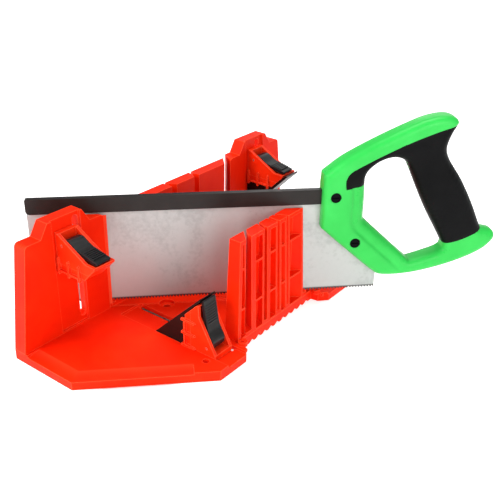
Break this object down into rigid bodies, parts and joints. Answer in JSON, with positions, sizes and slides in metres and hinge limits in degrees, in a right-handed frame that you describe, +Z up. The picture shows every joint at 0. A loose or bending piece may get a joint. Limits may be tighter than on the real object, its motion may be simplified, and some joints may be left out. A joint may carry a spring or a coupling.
{
  "type": "miter box saw",
  "caption": "Clamping miter box with slotted fences, stepped end towers and sliding lever clamps, holding a stiff-backed saw with a closed two-tone handle in its 45 degree slot.",
  "frame": {"origin": "middle of the underside of the box, on the bench surface, half way between the outer faces of the two fences", "axes": "+Z up, +Y along the trough from the end with the bare tower clamp to the other end, +X from the rear fence to the front fence"},
  "size_m": [0.3461, 0.409, 0.2073],
  "materials": {
    "box_plastic": "satin",
    "clamp_plastic": "satin",
    "lever_plastic": "satin",
    "pad_plastic": "gloss",
    "shoe_plastic": "matte",
    "pin_steel": "satin",
    "blade_steel": "satin",
    "back_steel": "satin",
    "handle_plastic": "satin",
    "grip_rubber": "matte",
    "screw_black": "satin"
  },
  "bodies": {
    "box": {"box_base": "box_plastic", "box_rear_fence": "box_plastic", "box_front_fence": "box_plastic", "box_near_tower": "box_plastic", "box_far_tower": "box_plastic"},
    "near_tower_clamp": {"near_tower_housing": "clamp_plastic", "near_tower_pivot": "pin_steel", "near_tower_shoe": "shoe_plastic", "near_tower_screw": "pin_steel"},
    "near_tower_lever_arm": {"near_tower_lever": "lever_plastic"},
    "far_tower_clamp": {"far_tower_housing": "clamp_plastic", "far_tower_pivot": "pin_steel", "far_tower_shoe": "shoe_plastic", "far_tower_screw": "pin_steel", "far_tower_pad": "pad_plastic"},
    "far_tower_lever_arm": {"far_tower_lever": "lever_plastic"},
    "near_floor_clamp": {"near_floor_housing": "clamp_plastic", "near_floor_pivot": "pin_steel", "near_floor_shoe": "shoe_plastic", "near_floor_screw": "pin_steel", "near_floor_pad": "pad_plastic"},
    "near_floor_lever_arm": {"near_floor_lever": "lever_plastic"},
    "far_floor_clamp": {"far_floor_housing": "clamp_plastic", "far_floor_pivot": "pin_steel", "far_floor_shoe": "shoe_plastic", "far_floor_screw": "pin_steel", "far_floor_pad": "pad_plastic"},
    "far_floor_lever_arm": {"far_floor_lever": "lever_plastic"},
    "saw": {"saw_blade": "blade_steel", "saw_back": "back_steel", "saw_handle": "handle_plastic", "saw_grip": "grip_rubber", "saw_screws": "screw_black", "saw_nuts": "screw_black"}
  },
  "joints": [
    {"name": "near_tower_slide", "type": "slide", "parent": "box", "child": "near_tower_clamp", "axis": [0, 0, 1], "range_m": [-0.06, 0.008]},
    {"name": "near_tower_lever_hinge", "type": "hinge", "parent": "near_tower_clamp", "child": "near_tower_lever_arm", "pos_m": [-0.0535, -0.144, 0.107], "axis": [0, -1, 0], "range_deg": [0, 45]},
    {"name": "far_tower_slide", "type": "slide", "parent": "box", "child": "far_tower_clamp", "axis": [0, 0, 1], "range_m": [-0.025, 0.008]},
    {"name": "far_tower_lever_hinge", "type": "hinge", "parent": "far_tower_clamp", "child": "far_tower_lever_arm", "pos_m": [-0.0535, 0.144, 0.107], "axis": [0, -1, 0], "range_deg": [0, 45]},
    {"name": "near_floor_slide", "type": "slide", "parent": "box", "child": "near_floor_clamp", "axis": [1, 0, 0], "range_m": [-0.045, 0.004]},
    {"name": "near_floor_lever_hinge", "type": "hinge", "parent": "near_floor_clamp", "child": "near_floor_lever_arm", "pos_m": [0.07, -0.0875, 0.018], "axis": [0, 1, 0], "range_deg": [0, 45]},
    {"name": "far_floor_slide", "type": "slide", "parent": "box", "child": "far_floor_clamp", "axis": [1, 0, 0], "range_m": [-0.045, 0.004]},
    {"name": "far_floor_lever_hinge", "type": "hinge", "parent": "far_floor_clamp", "child": "far_floor_lever_arm", "pos_m": [0.07, 0.0875, 0.018], "axis": [0, 1, 0], "range_deg": [0, 45]},
    {"name": "saw_stroke", "type": "slide", "parent": "box", "child": "saw", "axis": [0.7071, 0.7071, 0], "range_m": [0, 0.07]}
  ]
}
